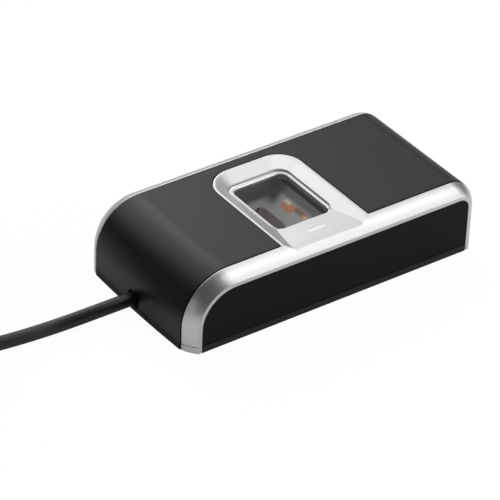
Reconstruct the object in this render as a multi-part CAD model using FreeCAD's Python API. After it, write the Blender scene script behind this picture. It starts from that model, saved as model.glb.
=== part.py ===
import FreeCAD, Part
import math
import os

# Fingerprint scanner terminal, in millimetres.
# +X runs along the body from the cable end to the nose, -Y is the side that the finger comes from,
# +Z is up, and z = 0 is the plane that the rubber feet stand on.

V = FreeCAD.Vector

# ---- driving dimensions ------------------------------------------------------------------------
LENGTH = 94.0            # body, along X
WIDTH = 48.8             # body, along Y
HEIGHT = 20.9            # body, without its feet
FOOT_PROUD = 0.55        # rubber feet below the body
CABLE_END_RADIUS = 14.0  # large roll-over at the cable end
NOSE_RADIUS = 7.9        # smaller roll-over at the nose
NOSE_TIGHTER = 0.95      # how much tighter than parallel the nose is at the sides
END_BOW = 0.45           # how far the cover's cable end swells between the bands
COVER_WIDTH = 40.0       # dark centre cover, between the two silver bands
BAND_DROP = 2.75         # how far the bands fall in towards the sides
BAND_BULGE = 0.4         # how much the bands are crowned
RIM_WIDTH = 1.05         # flat edge of the band round each side panel
COVER_THICK = 1.4
WALL = 1.55
PARTING = 1.8            # height of the bottom cover's visible edge
GAP = 0.1                # joint line between mouldings
SEAT = 0.05              # assembly clearance

DISH_LEFT = -15.9        # outer edges of the finger guide
DISH_RIGHT = 12.1
DISH_FAR = 16.85
DISH_CORNERS = (7.2, 8.3)    # its far corners, right and left
DISH_LAND = 0.7          # flat rim round it
SLOPE_DROP = 1.33        # depth of the inner edge of the slopes
SLOPE_LEFT = -12.1       # inner edges of the slopes
SLOPE_RIGHT = 8.0
SLOPE_FAR = 12.05
SLOPE_CORNER = 3.7
TONGUE_DROP = 1.7        # depth of the finger rest beside the window
TONGUE_RISE = 0.092      # its rise towards the near edge, per millimetre
TONGUE_BACK = -11.7
TONGUE_EDGE = -12.1      # where it ends at the window
LIP_START = -20.6        # the rounded lip at the near edge of the finger rest
LIP_RADIUS = 7.0
LIP_SLOPE = math.radians(-10)
BROW_RADIUS = 0.35       # turn from the lip into its front face

WINDOW_DROP = 1.9        # depth of the window frame's top
WINDOW_X = -2.13         # middle of the window
WINDOW_HALF = 8.77
WINDOW_NEAR = -11.7
WINDOW_FAR = 10.7
WINDOW_CORNER = 2.5
FRAME_SIDE = 0.8         # width of the frame at its sides
FRAME_FAR = 1.05
FRAME_GAP = 0.25         # joint between the frame and the slopes
GLASS_DROP = 2.4

CABLE_RADIUS = 1.9
CABLE_EXIT = V(-46.7, 1.4, 4.0)
COIL_X = -100.5          # the cable joins and leaves the coil here, on its near side
COIL_NEAR = 6.7
COIL_TURN_RADIUS = 18.7  # middle of the turns
COIL_COLUMNS = 3
COIL_LAYERS = 4

# ---- values that follow from them ---------------------------------------------------------------
UNDERSIDE = FOOT_PROUD
TOP = UNDERSIDE + HEIGHT
HALF_LENGTH = LENGTH / 2
HALF_WIDTH = WIDTH / 2
COVER_HALF = COVER_WIDTH / 2
BAND_WIDTH = HALF_WIDTH - COVER_HALF
JOINT_RADIUS = 0.25
PANEL_INSET = BAND_DROP + RIM_WIDTH
RECESS_INSET = COVER_THICK + SEAT
CAVITY_INSET = RECESS_INSET + WALL
PARTING_TOP = UNDERSIDE + PARTING
CAVITY_HALF_WIDTH = 21.5
PANEL_BACK = 23.1
PANEL_FACE = 24.3
CEILING = TOP - CAVITY_INSET
FLOOR = PARTING_TOP
FAR_BELOW = -5.0        # cutting shapes reach this far past the body
BEYOND = 30.0
PAST_ENDS = 60.0


# ---- general shapes -------------------------------------------------------------------------------
def block(x0, x1, y0, y1, z0, z1):
    return Part.makeBox(x1 - x0, y1 - y0, z1 - z0, V(x0, y0, z0))


def post(x, y, z0, z1, radius):
    return Part.makeCylinder(radius, z1 - z0, V(x, y, z0))


def joined(shapes):
    return shapes[0].multiFuse(shapes[1:]).removeSplitter()


def outline(corners, radii):
    """Closed wire through the corners, each rounded to its own radius; 0 leaves it sharp."""
    arcs = []
    for i, corner in enumerate(corners):
        back = (corners[i - 1] - corner).normalize()
        ahead = (corners[(i + 1) % len(corners)] - corner).normalize()
        if radii[i] == 0:
            arcs.append((corner, None, corner))
            continue
        half = back.getAngle(ahead) / 2
        reach = radii[i] / math.tan(half)
        inward = (back + ahead).normalize()
        middle = corner + inward * (radii[i] / math.sin(half) - radii[i])
        arcs.append((corner + back * reach, middle, corner + ahead * reach))
    edges = []
    for i, (start, middle, end) in enumerate(arcs):
        if middle is not None:
            edges.append(Part.Arc(start, middle, end).toShape())
        edges.append(Part.LineSegment(end, arcs[(i + 1) % len(arcs)][0]).toShape())
    return Part.Wire(edges)


def plan(x0, x1, y0, y1, z, near=0.0, far=0.0):
    """Rectangle seen from above, with its two near and its two far corners rounded."""
    corners = [V(x0, y0, z), V(x1, y0, z), V(x1, y1, z), V(x0, y1, z)]
    return outline(corners, [near, near, far, far])


def upright(wire, height):
    return Part.Face(wire).extrude(V(0, 0, height))


def profile(inset, y, low=UNDERSIDE, tighter=0.0, bow=0.0):
    """The body's side outline, moved inwards by inset, with a tighter nose or a fuller cable end."""
    left, right, top = -HALF_LENGTH + inset - bow, HALF_LENGTH - inset, TOP - inset
    corners = [V(left, y, low), V(right, y, low), V(right, y, top), V(left, y, top)]
    return outline(corners, [0, 0, NOSE_RADIUS - inset - tighter, CABLE_END_RADIUS - inset])


def slab(inset, y0, y1, low=UNDERSIDE, tighter=0.0):
    return Part.Face(profile(inset, y0, low, tighter)).extrude(V(0, y1 - y0, 0))


def tube(points, radius, name):
    """A tube along straight runs joined by the largest tangent arcs that the runs allow."""
    edges = []
    start = points[0]
    radii = []
    for before, corner, after in zip(points, points[1:], points[2:]):
        back = (before - corner).normalize()
        ahead = (after - corner).normalize()
        half_turn = (math.pi - back.getAngle(ahead)) / 2
        reach = 0.45 * min((before - corner).Length, (after - corner).Length)
        bend = reach / math.tan(half_turn)
        radii.append(round(bend, 1))
        inward = (back + ahead).normalize()
        middle = corner + inward * (bend / math.cos(half_turn) - bend)
        enter, leave = corner + back * reach, corner + ahead * reach
        edges.append(Part.LineSegment(start, enter).toShape())
        edges.append(Part.Arc(enter, middle, leave).toShape())
        start = leave
    edges.append(Part.LineSegment(start, points[-1]).toShape())
    path = Part.Wire(edges)
    section = Part.Wire(Part.makeCircle(radius, points[0], points[1] - points[0]))
    solid = path.makePipeShell([section], True, False)
    expected = math.pi * radius ** 2 * path.Length
    print(name, "length", round(path.Length, 1), "bend radii", radii,
          "volume ratio", round(solid.Volume / expected, 4))
    return solid


# ---- outer shape ----------------------------------------------------------------------------------
def band_inset(depth):
    """How far a band has fallen inwards at this distance from the cover's edge."""
    along = depth / BAND_WIDTH
    return BAND_DROP * along - 4 * BAND_BULGE * along * (1 - along)


def flank(side, extra, low=UNDERSIDE):
    """One crowned band, from the cover's edge out to the side, moved inwards by extra."""
    sections = []
    for step in range(5):
        along = step / 4
        depth = BAND_WIDTH * along
        sections.append(profile(band_inset(depth) + extra, side * (COVER_HALF - extra + depth), low,
                                NOSE_TIGHTER * along))
    return Part.makeLoft(sections, True, False)


def whole_body():
    """The closed outside shape: a straight middle and a crowned, chamfer-like flank on each side."""
    return joined([slab(0, -COVER_HALF, COVER_HALF), flank(-1, 0), flank(1, 0)])


def tongue_z(y):
    return TOP - TONGUE_DROP + TONGUE_RISE * (TONGUE_BACK - y)


def guide_outline(left, right, near, far, z, corners):
    """Outline that is open-ended towards the near side, with its far corners rounded."""
    points = [V(left, near, z), V(right, near, z), V(right, far, z), V(left, far, z)]
    return outline(points, [0, 0, corners[0], corners[1]])


def dish_wire(drop, grow=0.0):
    """Outline of the sloping walls of the finger guide at a depth below the top."""
    down = drop / SLOPE_DROP

    def between(rim, foot):
        return rim + (foot - rim) * down

    return guide_outline(between(DISH_LEFT + DISH_LAND, SLOPE_LEFT) - grow,
                         between(DISH_RIGHT - DISH_LAND, SLOPE_RIGHT) + grow, -BEYOND,
                         between(DISH_FAR - DISH_LAND, SLOPE_FAR) + grow, TOP - drop,
                         [between(c - DISH_LAND, SLOPE_CORNER) + grow for c in DISH_CORNERS])


def dish_hollow(grow=0.0):
    above, below = -0.6, 2.2
    return Part.makeLoft([dish_wire(above, grow), dish_wire(below, grow)], True, True)


def rolled(start, radius, slope, end_slope):
    """The middle and the end of an arc that starts at one slope and turns down to another."""
    def reach(angle):
        return start + V(0, radius * (math.sin(angle) - math.sin(slope)),
                         radius * (math.cos(angle) - math.cos(slope)))

    return reach((slope + end_slope) / 2), reach(end_slope)


LIP_BEGIN = V(0, LIP_START, tongue_z(LIP_START))
LIP_CREST, LIP_BROW = rolled(LIP_BEGIN, LIP_RADIUS, math.atan(TONGUE_RISE), LIP_SLOPE)
BROW_MIDDLE, LIP_FRONT = rolled(LIP_BROW, BROW_RADIUS, LIP_SLOPE, math.radians(-90))


def across_guide(edges):
    """Solid from an outline in the plane x = 0, reaching over the whole guide along X."""
    wire = Part.Wire(edges)
    wire.translate(V(-BEYOND, 0, 0))
    return Part.Face(wire).extrude(V(2 * BEYOND, 0, 0))


def above_tongue():
    """The space above the finger rest and above its lip."""
    far = V(0, BEYOND, tongue_z(BEYOND))
    near = V(0, -BEYOND, LIP_BROW.z + (LIP_BROW.y + BEYOND) * math.tan(LIP_SLOPE))
    sky = [V(0, -BEYOND, TOP + 5), V(0, BEYOND, TOP + 5)]
    edges = [Part.LineSegment(far, LIP_BEGIN).toShape(),
             Part.Arc(LIP_BEGIN, LIP_CREST, LIP_BROW).toShape()]
    corners = [LIP_BROW, near, sky[0], sky[1], far]
    edges += [Part.LineSegment(a, b).toShape() for a, b in zip(corners, corners[1:])]
    return across_guide(edges)


def tongue_lip():
    """The part of the lip that stands proud of the band, with its near corners rounded off."""
    foot, back = V(0, LIP_FRONT.y, TOP - 1.9), V(0, LIP_START, TOP - 1.9)
    edges = [Part.Arc(LIP_BEGIN, LIP_CREST, LIP_BROW).toShape(),
             Part.Arc(LIP_BROW, BROW_MIDDLE, LIP_FRONT).toShape()]
    corners = [LIP_FRONT, foot, back, LIP_BEGIN]
    edges += [Part.LineSegment(a, b).toShape() for a, b in zip(corners, corners[1:])]
    ends = upright(plan(SLOPE_LEFT - 0.9, SLOPE_RIGHT + 0.9, LIP_FRONT.y, LIP_START + 1, TOP - 3,
                        near=1.2), 5)
    return across_guide(edges).common(ends).common(dish_hollow(0.02))


def dish_island():
    """The raised rim of the finger guide, filling the cut-out of the dark cover."""
    rim = guide_outline(DISH_LEFT, DISH_RIGHT, -COVER_HALF - 0.2, DISH_FAR, CEILING, DISH_CORNERS)
    island = upright(rim, TOP - CEILING)
    edges = [e for e in island.Edges if e.BoundBox.ZMin > TOP - 0.01
             and e.BoundBox.YMax > -COVER_HALF]
    return island.makeFillet(0.15, edges)


# ---- housing --------------------------------------------------------------------------------------
SCREW_SPOTS = [(x, y) for x in (-39.5, 39.5) for y in (-16.0, 16.0)]
FOOT_SPOTS = [(x, y) for x in (-30.0, 30.0) for y in (-17.3, 17.3)]
COVER_PINS = [(x, y) for x in (-30.0, 27.0) for y in (-14.0, 14.0)]
BOARD_POSTS = [(x, y) for x in (16.0, 38.5) for y in (-10.5, 3.0)]
BOARD_Z = 4.6
OPTICS_SCREWS = [(x, y) for x in (-17.5, 7.0) for y in (-16.6, 15.5)]
HOUSING_Z = 3.6
NOTCH_Y = 1.2
NOTCH_HALF = 2.6
NOTCH_TOP = 6.3
SADDLE_HALF = 2.1        # dip in the bottom cover's edge under the cable
SADDLE_Z = 1.6
GLAND_INNER = -42.5
SLOT_X = (-4.9, 0.75)
SLOT_Y = -16.9
SLOT_HALF = 0.45


def cable_notch():
    """Rounded opening in the end walls that the cable gland sits in."""
    x = -HALF_LENGTH - 1
    corners = [V(x, NOTCH_Y - NOTCH_HALF, 0), V(x, NOTCH_Y + NOTCH_HALF, 0),
               V(x, NOTCH_Y + NOTCH_HALF, NOTCH_TOP), V(x, NOTCH_Y - NOTCH_HALF, NOTCH_TOP)]
    return Part.Face(outline(corners, [0, 0, 2.0, 2.0])).extrude(V(5, 0, 0))


def indicator_slot(z0, z1, grow=0.0):
    half = SLOT_HALF + grow
    return upright(plan(SLOT_X[0] - grow, SLOT_X[1] + grow, SLOT_Y - half, SLOT_Y + half, z0,
                        near=half * 0.98, far=half * 0.98), z1 - z0)


def window_opening(grow, z0, z1):
    """Outer shape of the window frame, or the hole in the finger guide that it comes up through."""
    side = WINDOW_HALF + FRAME_SIDE + grow
    radius = WINDOW_CORNER + FRAME_SIDE + grow
    near = TONGUE_EDGE + SEAT if grow == 0 else TONGUE_EDGE
    return upright(plan(WINDOW_X - side, WINDOW_X + side, near, WINDOW_FAR + FRAME_FAR + grow,
                        z0, near=radius, far=radius), z1 - z0)


def upper_case():
    """Silver moulding: both bands, the finger guide and the deck that carries the dark cover."""
    case = whole_body()
    shelf = slab(RECESS_INSET, -COVER_HALF - GAP, COVER_HALF + GAP)
    skin = block(-PAST_ENDS, PAST_ENDS, -COVER_HALF - GAP, COVER_HALF + GAP, FAR_BELOW, 40).cut(shelf)
    case = soft_joint(case.cut(skin), shelf).fuse(dish_island())
    case = case.cut(slab(CAVITY_INSET, -CAVITY_HALF_WIDTH, CAVITY_HALF_WIDTH, FAR_BELOW))
    for side in (-1, 1):
        near, far = sorted((side * PANEL_BACK, side * BEYOND))
        case = case.cut(slab(PANEL_INSET, near, far, FAR_BELOW, NOSE_TIGHTER))
    case = case.cut(dish_hollow().common(above_tongue())).fuse(tongue_lip())
    case = case.cut(window_opening(FRAME_GAP, CEILING - 1, TOP + 1))
    case = case.cut(indicator_slot(CEILING - 1, TOP + 1, 0.05))
    # only the feet of the bands come down beside the bottom cover
    keep = HALF_LENGTH - PANEL_INSET
    low = PARTING_TOP + GAP
    case = case.cut(block(-keep, keep, -BEYOND, BEYOND, FAR_BELOW, low))
    case = case.cut(block(-PAST_ENDS, PAST_ENDS, -COVER_HALF - GAP, COVER_HALF + GAP, FAR_BELOW, low))
    case = case.cut(band_groove()).cut(cable_notch())
    for x, y in SCREW_SPOTS:
        boss = post(x, y, FLOOR + 2.0, CEILING + 0.5, 2.6)
        rib = block(min(x, x * 0.9), max(x, x * 0.9), y - 0.5, y + 0.5, CEILING - 4, CEILING + 0.5)
        pillar = joined([boss, rib]).common(slab(RECESS_INSET + 0.3, -BEYOND, BEYOND))
        case = case.fuse(pillar).cut(post(x, y, FLOOR + 1.9, FLOOR + 11, 1.0))
    for x, y in COVER_PINS:
        case = case.cut(post(x, y, CEILING - 1, TOP, 1.05))
    return case


def soft_joint(case, shelf):
    """Rounds the bands' edges where they meet the cover."""
    edges = []
    for edge in case.Edges:
        box = edge.BoundBox
        middle = edge.valueAt((edge.FirstParameter + edge.LastParameter) / 2)
        flat = box.YLength < 0.01 and abs(abs(box.YMin) - COVER_HALF - GAP) < 0.01
        if flat and middle.z > UNDERSIDE + 0.01 and not shelf.isInside(middle, 0.3, True):
            edges.append(edge)
    return case.makeFillet(JOINT_RADIUS, edges)


def band_groove():
    """Fine line round the foot of each band, carrying on the joint of the bottom cover."""
    groove = block(-PAST_ENDS, PAST_ENDS, -BEYOND, BEYOND, PARTING_TOP, PARTING_TOP + 0.25)
    cores = [slab(0.2, -COVER_HALF, COVER_HALF, FAR_BELOW)]
    cores += [flank(side, 0.2, FAR_BELOW) for side in (-1, 1)]
    return groove.cut(joined(cores))


def bowed(section):
    """Solid between the two bands whose cable end swells a little in the middle."""
    half = COVER_HALF - 0.15
    wires = [section(0, half * t, UNDERSIDE, 0.0, END_BOW * (1 - t * t))
             for t in (-1, -0.5, 0, 0.5, 1)]
    return Part.makeLoft(wires, True, False)


def top_cover():
    """Dark cover, one shell over the cable end, the deck and the nose, with a notch for the guide."""
    cover = bowed(profile).cut(slab(COVER_THICK, -BEYOND, BEYOND, FAR_BELOW))
    room = 0.3
    notch = guide_outline(DISH_LEFT - room, DISH_RIGHT + room, -BEYOND, DISH_FAR + room, 10,
                          [c + room for c in DISH_CORNERS])
    cover = cover.cut(upright(notch, 20)).cut(cable_notch())
    cover = cover.cut(block(-PAST_ENDS, PAST_ENDS, -BEYOND, BEYOND, FAR_BELOW, PARTING_TOP + GAP))
    pins = [post(x, y, CEILING + 0.1, TOP - COVER_THICK + 0.2, 1.0) for x, y in COVER_PINS]
    return joined([cover] + pins)


def side_panel(side):
    """Dark panel set into the recess of one side, inside the band's rim."""
    y0, y1 = sorted((side * (PANEL_BACK + SEAT), side * PANEL_FACE))
    return slab(PANEL_INSET + GAP, y0, y1, PARTING_TOP + GAP, NOSE_TIGHTER)


def bottom_cover():
    """Dark tray that closes the body from below, with a locating lip, board posts and screw seats."""
    below_joint = block(-PAST_ENDS, PAST_ENDS, -BEYOND, BEYOND, UNDERSIDE, PARTING_TOP)
    across = bowed(profile).common(below_joint)
    along_half = HALF_LENGTH - PANEL_INSET - GAP
    along = block(-along_half, along_half, -PANEL_FACE, PANEL_FACE, UNDERSIDE, PARTING_TOP)
    edges = [e for e in along.Edges if e.BoundBox.ZMax < UNDERSIDE + 0.01]
    tray = joined([across, along.makeChamfer(0.15, edges)])
    lip_x, lip_y = HALF_LENGTH - CAVITY_INSET - 0.15, CAVITY_HALF_WIDTH - 0.15
    lip = block(-lip_x, lip_x, -lip_y, lip_y, FLOOR - 0.2, FLOOR + 1.4)
    lip = lip.cut(block(-lip_x + 1.2, lip_x - 1.2, -lip_y + 1.2, lip_y - 1.2, 0, 10))
    lip = lip.cut(block(-lip_x - 1, -lip_x + 2, NOTCH_Y - NOTCH_HALF - 1.3, NOTCH_Y + NOTCH_HALF + 1.3,
                        FLOOR, 10))
    tray = joined([tray, lip])
    tray = tray.cut(block(-PAST_ENDS, -HALF_LENGTH + 5, CABLE_EXIT.y - SADDLE_HALF,
                          CABLE_EXIT.y + SADDLE_HALF, SADDLE_Z, 10))
    for x, y in BOARD_POSTS:
        tray = tray.fuse(post(x, y, FLOOR - 0.2, BOARD_Z, 2.2)).cut(post(x, y, FLOOR, 20, 0.85))
    for x, y in OPTICS_SCREWS:
        tray = tray.fuse(post(x, y, FLOOR - 0.2, HOUSING_Z, 2.0)).cut(post(x, y, FLOOR, 20, 0.85))
    for x, y in SCREW_SPOTS:
        tray = tray.fuse(post(x, y, FLOOR - 0.2, FLOOR + 1.9, 3.0))
        tray = tray.cut(post(x, y, UNDERSIDE - 1, UNDERSIDE + 1.7, 2.2))
        tray = tray.cut(post(x, y, UNDERSIDE, FLOOR + 3, 1.15))
    for x, y in FOOT_SPOTS:
        tray = tray.cut(post(x, y, UNDERSIDE - 1, UNDERSIDE + 0.7, 4.1))
    return tray.removeSplitter()


def rubber_feet():
    feet = []
    for x, y in FOOT_SPOTS:
        foot = post(x, y, 0, UNDERSIDE + 0.68, 4.0)
        rim = [e for e in foot.Edges if e.BoundBox.ZMax < 0.01]
        feet.append(foot.makeFillet(0.35, rim))
    return Part.makeCompound(feet)


def cross_screw(x, y, head_z, head_radius, head_height, shank_radius, length, up=1):
    """Cross-recessed screw; its head is at head_z and its shank points up (+1) or down (-1)."""
    head = Part.makeCylinder(head_radius, head_height, V(0, 0, 0))
    head = head.makeFillet(head_height * 0.35, [e for e in head.Edges if e.BoundBox.ZMax < 0.01])
    shank = Part.makeCylinder(shank_radius, length, V(0, 0, head_height))
    tip = Part.makeCone(shank_radius, shank_radius * 0.3, shank_radius, V(0, 0, head_height + length))
    screw = joined([head, shank, tip])
    arm, depth = head_radius * 0.6, head_height * 0.5
    for w, d in ((arm, arm * 0.25), (arm * 0.25, arm)):
        screw = screw.cut(block(-w, w, -d, d, -1, depth))
    if up < 0:
        screw.rotate(V(0, 0, 0), V(1, 0, 0), 180)
    screw.translate(V(x, y, head_z))
    return screw


# ---- optics ---------------------------------------------------------------------------------------
OPTICS_Y = -0.55
PRISM_HALF = 9.15
PRISM_LAND = 0.8
PRISM_TOP = TOP - GLASS_DROP
PRISM_ENDS = (-11.8, 11.1)
PRISM_CORNER = 2.8
GASKET = 0.15
PRISM_APEX_HALF = 0.5
FLANGE_HALF = 11.4
FLANGE_Y = (-14.0, 13.4)
HOUSING_X = (-20.5, 9.6)
HOUSING_Y = (-14.0, 12.9)
HOUSING_TOP = 17.35
LENS_Z = 7.6
LENS_RADIUS = 3.35
SENSOR_X = -33.0


def prism_section(y, grow=0.0):
    top, land = PRISM_TOP + grow, PRISM_TOP - PRISM_LAND
    half = PRISM_HALF + grow
    low = land - (PRISM_HALF - PRISM_APEX_HALF) - grow
    tip = PRISM_APEX_HALF
    corners = [V(WINDOW_X - half, y, top), V(WINDOW_X + half, y, top), V(WINDOW_X + half, y, land),
               V(WINDOW_X + tip, y, low), V(WINDOW_X - tip, y, low), V(WINDOW_X - half, y, land)]
    return outline(corners, [0] * 6)


def prism_plan(z0, z1, grow=0.0):
    """The prism's outline from above, with its upright corners ground round."""
    half = PRISM_HALF + grow
    radius = PRISM_CORNER + grow
    return upright(plan(WINDOW_X - half, WINDOW_X + half, PRISM_ENDS[0] - grow, PRISM_ENDS[1] + grow,
                        z0, near=radius, far=radius), z1 - z0)


def prism():
    """Right-angle glass prism; the finger is placed on its wide top face."""
    y0, y1 = PRISM_ENDS
    glass = Part.Face(prism_section(y0)).extrude(V(0, y1 - y0, 0))
    return glass.common(prism_plan(0, TOP))


def window_hole(shrink, z0, z1):
    """The clear opening of the window frame, or a smaller one inside it."""
    half, radius = WINDOW_HALF - shrink, WINDOW_CORNER - shrink
    return upright(plan(WINDOW_X - half, WINDOW_X + half, WINDOW_NEAR + min(shrink, 0.1),
                        WINDOW_FAR - shrink, z0, near=radius, far=radius), z1 - z0)


def window_frame():
    """Bright frame round the glass, with a rounded rim and a flange held under the finger guide."""
    top = TOP - WINDOW_DROP
    side = WINDOW_HALF + FRAME_SIDE
    radius = WINDOW_CORNER + FRAME_SIDE
    rim = upright(plan(WINDOW_X - side, WINDOW_X + side, TONGUE_EDGE - 0.6, WINDOW_FAR + FRAME_FAR,
                       HOUSING_TOP + SEAT, near=radius, far=radius), top - HOUSING_TOP - SEAT)
    rim = rim.cut(window_hole(0, 10, TOP))
    inside = window_hole(-0.01, 10, TOP).BoundBox
    for outer, rounding in ((True, 0.3), (False, 0.4)):
        edges = [e for e in rim.Edges if e.BoundBox.ZMin > top - 0.01
                 and inside.isInside(e.BoundBox) != outer]
        rim = rim.makeFillet(rounding, edges)
    # the finger rest hides the near bar, so only its inner slope is left
    rim = rim.common(window_opening(0, 10, TOP))
    flange = upright(plan(WINDOW_X - FLANGE_HALF, WINDOW_X + FLANGE_HALF, *FLANGE_Y,
                          HOUSING_TOP + SEAT, near=4, far=4), CEILING - SEAT - HOUSING_TOP - SEAT)
    flange = flange.cut(window_hole(0, 10, TOP))
    return joined([rim, flange]).cut(prism_plan(0, PRISM_TOP + GASKET, SEAT))


def prism_gasket():
    """Thin dark seal between the frame's lip and the glass."""
    return prism_plan(PRISM_TOP, PRISM_TOP + GASKET).cut(window_hole(0.2, 10, TOP))


LEG_CENTRE = V(WINDOW_X + (PRISM_HALF + PRISM_APEX_HALF) / 2, 0,
               PRISM_TOP - PRISM_LAND - (PRISM_HALF - PRISM_APEX_HALF) / 2)


def on_leg(shape):
    """Turns a piece drawn flat so that its top faces the prism's lit leg, and puts it there."""
    shape.rotate(V(0, 0, 0), V(0, 1, 0), -45)
    shape.translate(LEG_CENTRE)
    return shape


def diffuser_plate():
    return on_leg(block(-4.8, 4.4, -10.5, 10.9, -1.3, -0.5))


def illumination_leds():
    leds = [block(s - 0.8, s + 0.8, y - 0.6, y + 0.6, -2.6, -1.5)
            for s in (-2.5, 2.5) for y in (-7.0, -0.5, 6.0)]
    return Part.makeCompound([on_leg(led) for led in leds])


def light_board():
    return on_leg(block(-4.8, 4.0, -10.5, 9.5, -3.5, -2.6))


def optics_housing():
    """Dark box that holds the prism, the lit stack, the mirror and the lens in line."""
    x0, x1 = HOUSING_X
    y0, y1 = HOUSING_Y
    shell = block(x0, x1, y0, y1, HOUSING_Z, HOUSING_TOP)
    wall = 1.5
    room = block(x0 + wall, x1 - wall, y0 + wall, y1 - wall, HOUSING_Z + wall, 30)
    shell = shell.cut(room)
    # a cheek at each end carries the prism in a vee
    for a, b in ((y0 + wall - 0.1, PRISM_ENDS[0] + 0.8), (PRISM_ENDS[1] - 0.8, y1 - wall + 0.1)):
        cheek = block(WINDOW_X - PRISM_HALF - 1, x1 - wall, a, b, HOUSING_Z + wall - 0.1, HOUSING_TOP)
        cheek = cheek.cut(on_leg(block(-5.0, 5.0, -20, 20, -3.7, 0)))
        shell = shell.fuse(cheek)
    vee = Part.Face(prism_section(PRISM_ENDS[0] - 0.1, 0.06))
    shell = shell.cut(vee.extrude(V(0, PRISM_ENDS[1] - PRISM_ENDS[0] + 0.2, 0)))
    bore = Part.makeCylinder(LENS_RADIUS + 0.08, 6, V(x0 - 2, OPTICS_Y, LENS_Z), V(1, 0, 0))
    shell = shell.cut(bore)
    for x, y in OPTICS_SCREWS:
        inside = y0 + wall / 2 if y < 0 else y1 - wall / 2
        ear = joined([post(x, y, HOUSING_Z, HOUSING_Z + 1.6, 2.4),
                      block(x - 2.4, x + 2.4, min(y, inside), max(y, inside),
                            HOUSING_Z, HOUSING_Z + 1.6)])
        shell = shell.fuse(ear).cut(post(x, y, 0, HOUSING_Z + 3, 1.1))
    ledge = block(-7, 3, -19.4, y0 + 0.2, 9.0, 10.2)
    return shell.fuse(ledge).removeSplitter()


def fold_mirror():
    """Mirror under the prism's other leg; it turns the picture of the finger towards the lens."""
    glass = block(-4.6, 4.6, -9, 8, -1.0, 0)
    glass.rotate(V(0, 0, 0), V(0, 1, 0), 22.5)
    glass.translate(V(-13.6, 0, 7.9))
    return glass


def lens_barrel():
    """Round barrel with a threaded end, lying along X."""
    radius, bore = LENS_RADIUS, 2.3
    points = [(-29.4, bore), (-29.4, radius - 0.2)]
    x = -29.2
    while x < -25.4:
        points += [(x, radius), (x + 0.35, radius - 0.25)]
        x += 0.7
    points += [(-25.2, radius), (-19.9, radius), (-19.4, radius - 0.4), (-19.4, 1.6), (-20.4, 1.6),
               (-20.8, bore)]
    corners = [V(px, OPTICS_Y, LENS_Z + pr) for px, pr in points]
    section = Part.Face(Part.makePolygon(corners + corners[:1]))
    return section.revolve(V(0, OPTICS_Y, LENS_Z), V(1, 0, 0), 360)


def lens_elements():
    """Two double-curved lenses and a filter glass inside the barrel."""
    solids = []
    for x, bulge in ((-22.4, 0.7), (-25.0, 0.5)):
        rim = 2.25
        sphere = (rim ** 2 + bulge ** 2) / (2 * bulge)
        a = Part.makeSphere(sphere, V(x + sphere - bulge - 0.3, OPTICS_Y, LENS_Z))
        b = Part.makeSphere(sphere, V(x - sphere + bulge + 0.3, OPTICS_Y, LENS_Z))
        disc = Part.makeCylinder(rim, 4, V(x - 2, OPTICS_Y, LENS_Z), V(1, 0, 0))
        solids.append(a.common(b).common(disc))
    solids.append(Part.makeCylinder(2.25, 0.5, V(-28.6, OPTICS_Y, LENS_Z), V(1, 0, 0)))
    return Part.makeCompound(solids)


def lens_holder():
    body = block(SENSOR_X + 1.0, -25.6, OPTICS_Y - 5.5, OPTICS_Y + 5.5, LENS_Z - 4.7, LENS_Z + 5.5)
    body = body.cut(block(SENSOR_X, -29.6, OPTICS_Y - 4.4, OPTICS_Y + 4.4, LENS_Z - 3.9, LENS_Z + 4.4))
    bore = Part.makeCylinder(LENS_RADIUS + 0.02, 10, V(-31, OPTICS_Y, LENS_Z), V(1, 0, 0))
    return body.cut(bore)


def sensor_board():
    board = block(SENSOR_X, SENSOR_X + 1.0, -19.0, 5.4, FLOOR + 0.5, 14.0)
    return board.cut(block(-40, -25, -20, -13.5, 9.5, 20))


def image_sensor():
    return block(SENSOR_X + 1.0, SENSOR_X + 2.2, OPTICS_Y - 3.6, OPTICS_Y + 3.6,
                 LENS_Z - 3.2, LENS_Z + 3.2)


# ---- electronics ----------------------------------------------------------------------------------
BOARD_X = (13.0, 42.0)
BOARD_HALF = 13.2
BOARD_THICK = 1.2
BOARD_TOP = BOARD_Z + BOARD_THICK
FLEX_Y = (-18.6, -14.8)


def main_board():
    x0, x1 = BOARD_X
    board = joined([block(x0, x1, -BOARD_HALF, BOARD_HALF, BOARD_Z, BOARD_TOP),
                    block(x0, 28, -19.0, -BOARD_HALF + 1, BOARD_Z, BOARD_TOP)])
    for x, y in BOARD_POSTS:
        board = board.cut(post(x, y, 0, 10, 1.1))
    return board


def chip(x, y, size_x, size_y, height, legs, pitch):
    """Moulded chip with flat legs along its two long sides."""
    body = block(x - size_x / 2, x + size_x / 2, y - size_y / 2, y + size_y / 2,
                 BOARD_TOP + 0.1, BOARD_TOP + height)
    body = body.cut(post(x - size_x / 2 + 1, y - size_y / 2 + 1, BOARD_TOP + height - 0.1, 20, 0.4))
    parts = [body]
    for i in range(legs):
        leg_x = x + (i - (legs - 1) / 2) * pitch
        for side in (-1, 1):
            y0, y1 = sorted((y + side * (size_y / 2 - 0.1), y + side * (size_y / 2 + 0.9)))
            parts.append(block(leg_x - pitch * 0.22, leg_x + pitch * 0.22, y0, y1,
                               BOARD_TOP, BOARD_TOP + 0.25))
    return joined(parts)


def crystal():
    can = upright(plan(19.2, 24.2, -8.1, -4.9, BOARD_TOP, near=1.4, far=1.4), 1.6)
    return can.makeFillet(0.3, [e for e in can.Edges if e.BoundBox.ZMin > BOARD_TOP + 1.5])


def small_parts():
    """Capacitors and resistors soldered round the chips."""
    spots = [(24.5 + 2.2 * i, 11.2) for i in range(7)]
    spots += [(25.5 + 1.9 * i, y) for i in range(4) for y in (-4.2, -7.2)]
    return Part.makeCompound([block(x - 0.5, x + 0.5, y - 0.9, y + 0.9, BOARD_TOP, BOARD_TOP + 0.7)
                              for x, y in spots])


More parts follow.
